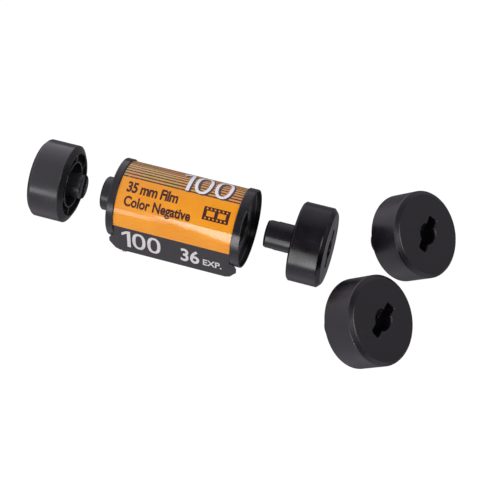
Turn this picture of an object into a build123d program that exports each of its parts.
from build123d import *
import math
import os

# A 35 mm film magazine laid out with the four moulded adapters that let it run in a camera made for
# 120 roll film. Millimetres. The origin is the centre of the magazine's flat end on the spool axis,
# +X runs along the spool axis out of the flat end, +Z is up, and the table is at z = -cap_r.
# The magazine's other end, where the spool stands out, is its stub end.
# Angles round the magazine run from -Y towards +Z, angles of webs and slots from +Y towards +Z.

# ---------------------------------------------------------------- magazine dimensions
mag_len = 43.3  # over the two end caps
cap_r = 12.5
cap_wall = 0.5
sheet = 0.3  # thickness of the caps' faces
recess = 1.8  # depth of the flat end's recess
stub_recess = 1.5
skirt_flat = 2.9
skirt_stub = 2.4
collar_len = 1.0  # the caps' inner collars round the journals
collar_wall = 0.35

relief_depth = 0.65  # the notch in the flat cap's rim
relief_over = 0.35  # how far its cutter stands out of the rim
relief_low = (40.0, 75.5)  # angles of the notch's ends at its bottom
relief_high = (36.0, 79.5)  # and at the cutter's top

shell_r = 11.95
shell_t = 0.25
label_t = 0.1
label_ends = (4.2, 324.0)  # where the label starts and ends round the shell
lip_drop = 10.15  # lower edge of the outer lip, below the spool axis
inner_lip_short = 0.25  # the inner lip ends this much higher
lip_tilt = 3.8  # the outer lip leaves the shell at this many degrees off vertical
lip_gap = 1.5  # between the two lips
bead_r = 0.22  # along the outer lip's edge
bead_shift = 0.05
plush_t = 0.65

ear_fold_stub = 39.4  # the folded ears start at these distances from the flat end
ear_fold_flat = 4.0
ear_tip_stub = 42.8
ear_tip_flat = 0.85
ear_top = 4.1  # the ears start this far below the axis
ear_fold_angle = math.radians(10)
ear_cut = (3.0, 10.0)  # the block cut from the flat lip at each fold, along X and Z

# ---------------------------------------------------------------- spool dimensions
journal_r = 5.4
journal_gap = 0.08
core_r = 5.8
flange_r = 10.6
flange_t = 0.8
flange_gap = 0.1  # between a flange and the cap's collar
stub_len = 4.7  # how far the spool stands out of the stub end
film_w = 35.0
film_r = 10.2
film_gap = 0.01
tape_t = 0.08
tape_w = 25.0
tape_ends = (60.0, 128.0)
flat_bore_r = 4.6
flat_bore_end = -13.0
flat_web = -6.25  # outer end of the web in the flat end's bore
stub_bore_r = 4.2
stub_bore_end = -36.0
stub_web = -42.5
web_t = 1.8
web_sink = 0.5  # how far a web runs into the bore's bottom
key_angle = 40.0

# ---------------------------------------------------------------- adapter dimensions
stem_r = 4.5
stem_len = 9.6
takeup_stem_len = 9.4
hub_r = 4.1
hub_out = 3.15
fork_w = 2.6
stem_fork_depth = 3.2
hub_fork_depth = 2.2
supply_r = 12.5
cup_t = 11.6
disc_t = 10.5
takeup_r = 13.5
takeup_t = 11.4
face_edge = 1.35  # the softened edge of an outer face, along the face
back_edge = 0.5
disc_wall = 1.8
core_depth = 6.0  # the ring-shaped recess in a disc's back
drive_r = 3.25
drive_depth = 8.0
slot_l = 11.6
slot_w = 3.2
slot_corner = 0.7
slot_depth = 5.0
drive_mouth = 0.3  # chamfer round the drive recess
collar_r = 7.6
collar_in = 7.0
wall_in = 10.1
rim_r = 10.6  # outer edge of the cup's flat rim, where its slope starts
rim_slope = 1.05
cup_ring = 2.4  # depth of the ring-shaped recess in the cup's open side
cup_pocket = 5.2  # depth of the pocket round the cup's hub
ribs = 6
rib_t = 1.1
rib_inset = 0.6  # how far the ribs stay below a disc's back
rib_sink = 0.1  # how far they run into the recess's floor
cup_rib_len = cup_ring - 0.6
cup_rib_start = 50.0  # angle of the first rib
disc_rib_turn = 30.0  # from the slot to the first rib
over = 1.0  # how far a cutter stands out of the face it cuts

# ---------------------------------------------------------------- layout on the table
cup_x = -64.16  # middle of the cup adapter
disc_x = 20.17  # middle of the supply stem adapter's disc
table_z = -cap_r
# (x, y) of the middle, heading of the outer face in degrees from +X towards -Y, slot angle
takeup_rear = ((49.32, 12.01), 13.0, 15.0)
takeup_front = ((44.04, -22.98), 10.5, 1.0)

# ---------------------------------------------------------------- derived places along the axis
flat_face = -recess - sheet  # inner side of the flat end's face
stub_face = -mag_len + stub_recess + sheet
flat_flange = flat_face - collar_len - flange_gap  # outer side of the flange by the flat end
stub_flange = stub_face + collar_len + flange_gap
film_mid = (flat_flange + stub_flange) / 2


# ---------------------------------------------------------------- shared outlines
def web_plane(x, angle):
    """A plane whose x runs along the web and whose y is the web's thickness, at this x."""
    turn = math.radians(angle)
    return Plane(
        origin=(x, 0, 0), x_dir=(0, math.cos(turn), math.sin(turn)), z_dir=(1, 0, 0)
    )


def arc_points(radius, start, end, steps):
    """Points in (y, z) along an arc about the axis, its angles from -Y towards +Z."""
    angles = [math.radians(start + (end - start) * i / steps) for i in range(steps + 1)]
    return [(-radius * math.cos(a), radius * math.sin(a)) for a in angles]


def sector(angles, inner_r, outer_r):
    """The corners of a ring sector."""
    return arc_points(outer_r, *angles, 12) + arc_points(inner_r, *angles, 12)[::-1]


def wedge(start, end):
    """The corners of a pie slice from the axis, reaching well past the shell."""
    steps = max(2, math.ceil((end - start) / 60))
    return [(0.0, 0.0)] + arc_points(20.0, start, end, steps)


def wrapped_sheet(x, width, inner_r, outer_r, ends):
    """A sheet wrapped about the axis between two angles, from x towards +X."""
    with BuildPart() as wrap:
        with BuildSketch(Plane.YZ.offset(x)):
            Circle(outer_r)
            Circle(inner_r, mode=Mode.SUBTRACT)
            with BuildLine():
                Polyline(*wedge(ends[1] - 360, ends[0]), close=True)
            make_face(mode=Mode.SUBTRACT)
        extrude(amount=width)
    return wrap.part


# ---------------------------------------------------------------- end caps
def cap_profile(end_x, inward, recess_depth, skirt):
    """Half the section of a cap in (x, radius); inward is the sign of x into the magazine."""
    bore = journal_r + journal_gap
    wall = cap_r - cap_wall
    face = recess_depth + sheet
    # (depth from the magazine's end, radius)
    points = [
        (skirt, cap_r - 0.48),
        (skirt, cap_r - 0.1),
        (skirt - 0.12, cap_r),
        (0.25, cap_r),
        (0.07, cap_r - 0.06),
        (0, cap_r - 0.18),
        (0, cap_r - 0.38),
        (0.1, wall),
        (recess_depth - 0.25, wall),
        (recess_depth, wall - 0.25),
        (recess_depth, bore + 0.25),
        (recess_depth + 0.12, bore + 0.07),
        (recess_depth + 0.3, bore),
        (face + collar_len, bore),
        (face + collar_len, bore + collar_wall),
        (face, bore + collar_wall),
        (face, cap_r - 0.48),
    ]
    return [(end_x + inward * depth, radius) for depth, radius in points]


def relief_cutter():
    """The notch in the flat cap's rim, wider at its top."""
    with BuildPart() as cutter:
        for x, angles in ((-relief_depth, relief_low), (relief_over, relief_high)):
            with BuildSketch(Plane.YZ.offset(x)):
                with BuildLine():
                    Polyline(*sector(angles, cap_r - 1.6, cap_r + 1.0), close=True)
                make_face()
        loft(ruled=True)
    return cutter.part


def end_cap(profile, cutter=None):
    with BuildPart() as cap:
        with BuildSketch(Plane.XZ):
            with BuildLine():
                Polyline(*profile, close=True)
            make_face()
        revolve(axis=Axis.X)
        if cutter is not None:
            add(cutter, mode=Mode.SUBTRACT)
    return cap.part


# ---------------------------------------------------------------- lips, as lines in (y, z)
mid_r = shell_r - shell_t / 2
tilt = math.radians(lip_tilt)
lip_down = (-math.sin(tilt), -math.cos(tilt))
lip_in = (math.cos(tilt), -math.sin(tilt))  # from the outer lip towards the inner lip


def lip_point(base, run, across=0.0):
    """The point this far down the lips from base, and this far towards the inner lip."""
    return tuple(base[i] + lip_down[i] * run + lip_in[i] * across for i in (0, 1))


# the outer lip leaves the shell's mid line at a tangent
tangent = (-mid_r * math.cos(tilt), mid_r * math.sin(tilt))
outer_run = (tangent[1] + lip_drop) / math.cos(tilt)
outer_end = lip_point(tangent, outer_run)

# the inner lip is parallel to it, and starts where its line meets the shell's circle below the axis
inner_start = lip_point(tangent, 0, lip_gap + shell_t)
half_b = inner_start[0] * lip_down[0] + inner_start[1] * lip_down[1]
circle_c = inner_start[0] ** 2 + inner_start[1] ** 2 - mid_r**2
throat_run = -half_b + math.sqrt(half_b**2 - circle_c)
throat = lip_point(inner_start, throat_run)
throat_angle = math.degrees(math.atan2(throat[1], -throat[0]))  # negative, below -Y
inner_run = (inner_start[1] + lip_drop - inner_lip_short) / math.cos(tilt)
inner_end = lip_point(inner_start, inner_run)


def slab(start, end, thickness):
    """The four corners of a straight sheet about the line from start to end."""
    dy, dz = end[0] - start[0], end[1] - start[1]
    length = math.hypot(dy, dz)
    off_y, off_z = -dz / length * thickness / 2, dy / length * thickness / 2
    return [
        (start[0] + off_y, start[1] + off_z),
        (end[0] + off_y, end[1] + off_z),
        (end[0] - off_y, end[1] - off_z),
        (start[0] - off_y, start[1] - off_z),
    ]


# ---------------------------------------------------------------- shell, one rolled sheet with two lips
def ear(x_fold, x_tip):
    """One end of the outer lip, beside the skirt: a plate folded inwards at x_fold."""
    sign = 1 if x_tip > x_fold else -1
    length = abs(x_tip - x_fold)
    down = Vector(0, *lip_down)
    outward = Vector(sign, 0, 0) * math.cos(ear_fold_angle)
    along = outward + Vector(0, *lip_in) * math.sin(ear_fold_angle)
    # local x runs from the fold to the tip, local y down the lip
    plane = Plane(origin=(x_fold, *tangent), x_dir=along, z_dir=along.cross(down))
    top = (tangent[1] + ear_top) / math.cos(tilt)
    with BuildPart() as plate:
        with BuildSketch(plane.offset(-shell_t / 2)):
            with BuildLine():
                Polyline(
                    (-0.12, top),
                    (length * 0.5, top),
                    (length * 0.8, top + 0.9),
                    (length, top + 2.2),
                    (length, outer_run - 2.2),
                    (length * 0.35, outer_run - 0.1),
                    (-0.12, outer_run - 0.02),
                    close=True,
                )
            make_face()
        extrude(amount=shell_t)
    return plate.part


def magazine_shell():
    face_gap = 0.02
    skirt_gap = 0.1
    strip_gap = 0.4  # between the lips' ends and the closing strips
    shell_x0 = stub_face + face_gap
    shell_x1 = flat_face - face_gap
    lip_x0 = -mag_len + skirt_stub + skirt_gap
    lip_x1 = -skirt_flat - skirt_gap
    cut_l, cut_h = ear_cut
    ears = [ear(-ear_fold_stub, -ear_tip_stub), ear(-ear_fold_flat, -ear_tip_flat)]

    with BuildPart() as shell:
        # the cylinder, from the outer lip's tangent point over the top and round to the throat
        with BuildSketch(Plane.YZ.offset(shell_x0)):
            Circle(shell_r)
            Circle(shell_r - shell_t, mode=Mode.SUBTRACT)
            with BuildLine():
                Polyline(*wedge(throat_angle, lip_tilt), close=True)
            make_face(mode=Mode.SUBTRACT)
        extrude(amount=shell_x1 - shell_x0)

        # the two lips, between the caps' skirts
        with BuildSketch(Plane.YZ.offset(lip_x0)):
            with BuildLine():
                Polyline(*slab(tangent, outer_end, shell_t), close=True)
            make_face()
            with BuildLine():
                Polyline(*slab(throat, inner_end, shell_t), close=True)
            make_face()
            with Locations(throat):
                Circle(shell_t / 2)
            with Locations((outer_end[0] + bead_shift, outer_end[1])):
                Circle(bead_r)
        extrude(amount=lip_x1 - lip_x0)

        # inside each skirt a short strip carries the cylinder across the gap
        with BuildSketch(Plane.YZ.offset(shell_x0), Plane.YZ.offset(lip_x1 + strip_gap)):
            Circle(shell_r)
            Circle(shell_r - shell_t, mode=Mode.SUBTRACT)
            with BuildLine():
                Polyline(*wedge(lip_tilt + 0.5, throat_angle + 359.5), close=True)
            make_face(mode=Mode.SUBTRACT)
        extrude(amount=lip_x0 - shell_x0 - strip_gap)

        # below ear_top the lip's flat part ends at the ears' fold lines
        with BuildSketch(Plane.XZ.offset(10.5)):
            with Locations(
                (-ear_fold_stub - cut_l / 2, -ear_top - cut_h / 2),
                (-ear_fold_flat + cut_l / 2, -ear_top - cut_h / 2),
            ):
                Rectangle(cut_l, cut_h)
        extrude(amount=4.0, mode=Mode.SUBTRACT)

        for plate in ears:
            add(plate)
    return shell.part


# ---------------------------------------------------------------- light-trap plush
def plush_strip(base, start, end, side):
    """A strip on a lip's face: side is +1 towards the inner lip, -1 towards the outer."""
    near = side * shell_t / 2
    far = near + side * plush_t
    end_gap = 0.05  # from the fold lines
    with BuildPart() as strip:
        with BuildSketch(Plane.YZ.offset(-ear_fold_stub + end_gap)):
            with BuildLine():
                Polyline(
                    lip_point(base, start, near),
                    lip_point(base, end, near),
                    lip_point(base, end, far),
                    lip_point(base, start, far),
                    close=True,
                )
            make_face()
        extrude(amount=ear_fold_stub - ear_fold_flat - 2 * end_gap)
    return strip.part


# ---------------------------------------------------------------- spool with its film
def spool_core():
    flat_end = -recess - 0.1
    stub_end = -mag_len - stub_len
    # (x, start, x end, bore radius) of the web across each bore
    webs = (
        (flat_bore_end - web_sink, flat_web, flat_bore_r),
        (stub_web, stub_bore_end + web_sink, stub_bore_r),
    )
    with BuildPart() as spool:
        with BuildSketch(Plane.XZ):
            with BuildLine():
                Polyline(
                    (flat_bore_end, 0),
                    (flat_bore_end, flat_bore_r),
                    (flat_end - 0.25, flat_bore_r),
                    (flat_end, flat_bore_r + 0.2),
                    (flat_end, journal_r - 0.2),
                    (flat_end - 0.2, journal_r),
                    (flat_flange, journal_r),
                    (flat_flange, flange_r - 0.15),
                    (flat_flange - 0.15, flange_r),
                    (flat_flange - flange_t, flange_r),
                    (flat_flange - flange_t, core_r),
                    (stub_flange + flange_t, core_r),
                    (stub_flange + flange_t, flange_r),
                    (stub_flange + 0.15, flange_r),
                    (stub_flange, flange_r - 0.15),
                    (stub_flange, journal_r),
                    (stub_end + 0.4, journal_r),
                    (stub_end, journal_r - 0.35),
                    (stub_end, stub_bore_r + 0.2),
                    (stub_end + 0.25, stub_bore_r),
                    (stub_bore_end, stub_bore_r),
                    (stub_bore_end, 0),
                    close=True,
                )
            make_face()
        revolve(axis=Axis.X)
        for x0, x1, bore_r in webs:
            with BuildSketch(web_plane(x0, key_angle)):
                Rectangle(2 * bore_r + 0.6, web_t)
            extrude(amount=x1 - x0)
    return spool.part


def film_roll():
    with BuildPart() as roll:
        with BuildSketch(Plane.YZ.offset(film_mid - film_w / 2)):
            Circle(film_r)
            Circle(core_r + tape_t + film_gap, mode=Mode.SUBTRACT)
        extrude(amount=film_w)
    return roll.part


# ---------------------------------------------------------------- adapters
def drive_cutter(angle):
    """The camera's drive recess, to cut into a face at the origin that faces +X."""
    with BuildPart() as cutter:
        with BuildSketch(Plane.YZ.offset(-drive_depth)):
            Circle(drive_r)
        extrude(amount=drive_depth + over)
        with BuildSketch(Plane.YZ.offset(-slot_depth)):
            RectangleRounded(slot_l, slot_w, slot_corner, rotation=angle)
        extrude(amount=slot_depth + over)
    return cutter.part


def mouth_edges(edges, x):
    """The edges round the drive recess's mouth, in the face at this x."""

    def in_mouth(point):
        return abs(point.X - x) < 0.01 and math.hypot(point.Y, point.Z) < slot_l / 2 + 0.5

    return [edge for edge in edges if all(in_mouth(edge @ t) for t in (0.0, 0.5, 1.0))]


def outer_face_profile(x, inward, r):
    """An outer face and its softened edge in (x, radius); inward is the sign of x into the part."""
    return [
        (x, 0),
        (x, r - face_edge),
        (x + inward * 0.1, r - face_edge + 0.2),
        (x + inward * 1.05, r - 0.12),
        (x + inward * 1.3, r),
    ]


def stem_adapter(r, thickness, stem, angle):
    """A disc with a forked stem and a drive recess, its outer face at the origin facing +X."""
    wall = r - disc_wall
    back = -thickness
    floor = back + core_depth
    stem_end = back - stem
    profile = outer_face_profile(0, -1, r) + [
        (back + back_edge, r),
        (back, r - back_edge),
        (back, wall + 0.15),
        (back + 0.15, wall),
        (floor, wall - 0.1),
        (floor, collar_r + 0.1),
        (back + 0.15, collar_r),
        (back, collar_r - 0.15),
        (back, stem_r),
        (stem_end + 0.6, stem_r),
        (stem_end, stem_r - 0.3),
        (stem_end, 0),
    ]
    cutter = drive_cutter(angle)
    with BuildPart() as adapter:
        with BuildSketch(Plane.XZ):
            with BuildLine():
                Polyline(*profile, close=True)
            make_face()
        revolve(axis=Axis.X)
        # ribs across the cored back
        with BuildSketch(Plane.YZ.offset(back + rib_inset)):
            with PolarLocations((collar_r + wall) / 2, ribs, start_angle=angle + disc_rib_turn):
                Rectangle(wall - collar_r + 0.6, rib_t)
        extrude(amount=core_depth + rib_sink - rib_inset)
        # the fork that straddles the spool's web
        with BuildSketch(web_plane(stem_end - over, angle)):
            Rectangle(2 * stem_r + 2, fork_w)
        extrude(amount=over + stem_fork_depth, mode=Mode.SUBTRACT)
        add(cutter, mode=Mode.SUBTRACT)
        chamfer(mouth_edges(adapter.edges(), 0.0), length=drive_mouth)
    return adapter.part


def cup_adapter():
    """The cup, its outer face towards -X, its open side towards the magazine."""
    face = cup_x - cup_t / 2
    rim = cup_x + cup_t / 2
    floor = rim - cup_ring
    pocket_floor = rim - cup_pocket
    hub_end = rim + hub_out
    profile = outer_face_profile(face, 1, supply_r) + [
        (rim - rim_slope - 0.12, supply_r),
        (rim - rim_slope + 0.04, supply_r - 0.14),
        (rim - 0.06, rim_r + 0.12),
        (rim, rim_r - 0.02),
        (rim, wall_in + 0.12),
        (rim - 0.12, wall_in),
        (floor, wall_in - 0.1),
        (floor, collar_r + 0.1),
        (rim - 0.52, collar_r),
        (rim - 0.4, collar_r - 0.12),
        (rim - 0.4, collar_in + 0.12),
        (rim - 0.52, collar_in),
        (pocket_floor, collar_in),
        (pocket_floor, hub_r),
        (hub_end - 0.4, hub_r),
        (hub_end, hub_r - 0.35),
        (hub_end, 0),
    ]
    cutter = Pos(face, 0, 0) * Rot(0, 0, 180) * drive_cutter(-key_angle)
    with BuildPart() as cup:
        with BuildSketch(Plane.XZ):
            with BuildLine():
                Polyline(*profile, close=True)
            make_face()
        revolve(axis=Axis.X)
        # ribs across the ring-shaped recess
        with BuildSketch(Plane.YZ.offset(floor - rib_sink)):
            with PolarLocations((collar_r + wall_in) / 2, ribs, start_angle=cup_rib_start):
                Rectangle(wall_in - collar_r + 0.5, rib_t)
        extrude(amount=cup_rib_len)
        # the fork across the hub's end
        with BuildSketch(web_plane(hub_end - hub_fork_depth, key_angle)):
            Rectangle(2 * hub_r + 2, fork_w)
        extrude(amount=hub_fork_depth + over, mode=Mode.SUBTRACT)
        add(cutter, mode=Mode.SUBTRACT)
        chamfer(mouth_edges(cup.edges(), face), length=drive_mouth)
    return cup.part


def takeup_adapter(xy, heading, slot_angle):
    """A stem adapter lying on the table, on the edge of its back and the end of its stem."""
    # the line through those two edges gives the lean, and the table gives the height
    low_stem = (-takeup_t - takeup_stem_len, stem_r - 0.3)
    low_disc = (-takeup_t + back_edge, takeup_r)
    lean = math.atan2(low_disc[1] - low_stem[1], low_disc[0] - low_stem[0])
    z = table_z - (low_stem[0] * math.sin(lean) - low_stem[1] * math.cos(lean))
    turn = math.radians(-heading)
    mid_reach = -takeup_t / 2 * math.cos(lean)  # from the outer face to the middle, level
    x = xy[0] - mid_reach * math.cos(turn)
    y = xy[1] - mid_reach * math.sin(turn)
    return (
        Pos(x, y, z)
        * Rot(0, 0, -heading)
        * Rot(0, -math.degrees(lean), 0)
        * stem_adapter(takeup_r, takeup_t, takeup_stem_len, slot_angle)
    )


# ---------------------------------------------------------------- build and export every piece
label_gap = 0.05  # between the label and each skirt
pieces = {
    "magazine_shell": magazine_shell(),
    "magazine_label": wrapped_sheet(
        -mag_len + skirt_stub + label_gap,
        mag_len - skirt_stub - skirt_flat - 2 * label_gap,
        shell_r,
        shell_r + label_t,
        label_ends,
    ),
    "cap_stub_end": end_cap(cap_profile(-mag_len, 1, stub_recess, skirt_stub)),
    "cap_flat_end": end_cap(cap_profile(0, -1, recess, skirt_flat), relief_cutter()),
    "plush_outer": plush_strip(tangent, 2.6, outer_run - 0.5, 1),
    "plush_inner": plush_strip(inner_start, throat_run + 0.35, inner_run - 0.2, -1),
    "spool_core": spool_core(),
    "film_roll": film_roll(),
    "film_tape": wrapped_sheet(
        film_mid - tape_w / 2, tape_w, core_r, core_r + tape_t, tape_ends
    ),
    "supply_cup_adapter": cup_adapter(),
    "supply_stem_adapter": Pos(disc_x + disc_t / 2, 0, 0)
    * stem_adapter(supply_r, disc_t, stem_len, key_angle),
    "takeup_adapter_rear": takeup_adapter(*takeup_rear),
    "takeup_adapter_front": takeup_adapter(*takeup_front),
}

os.makedirs("parts", exist_ok=True)
for name, part in pieces.items():
    part.label = name
    export_step(part, "parts/" + name + ".step")
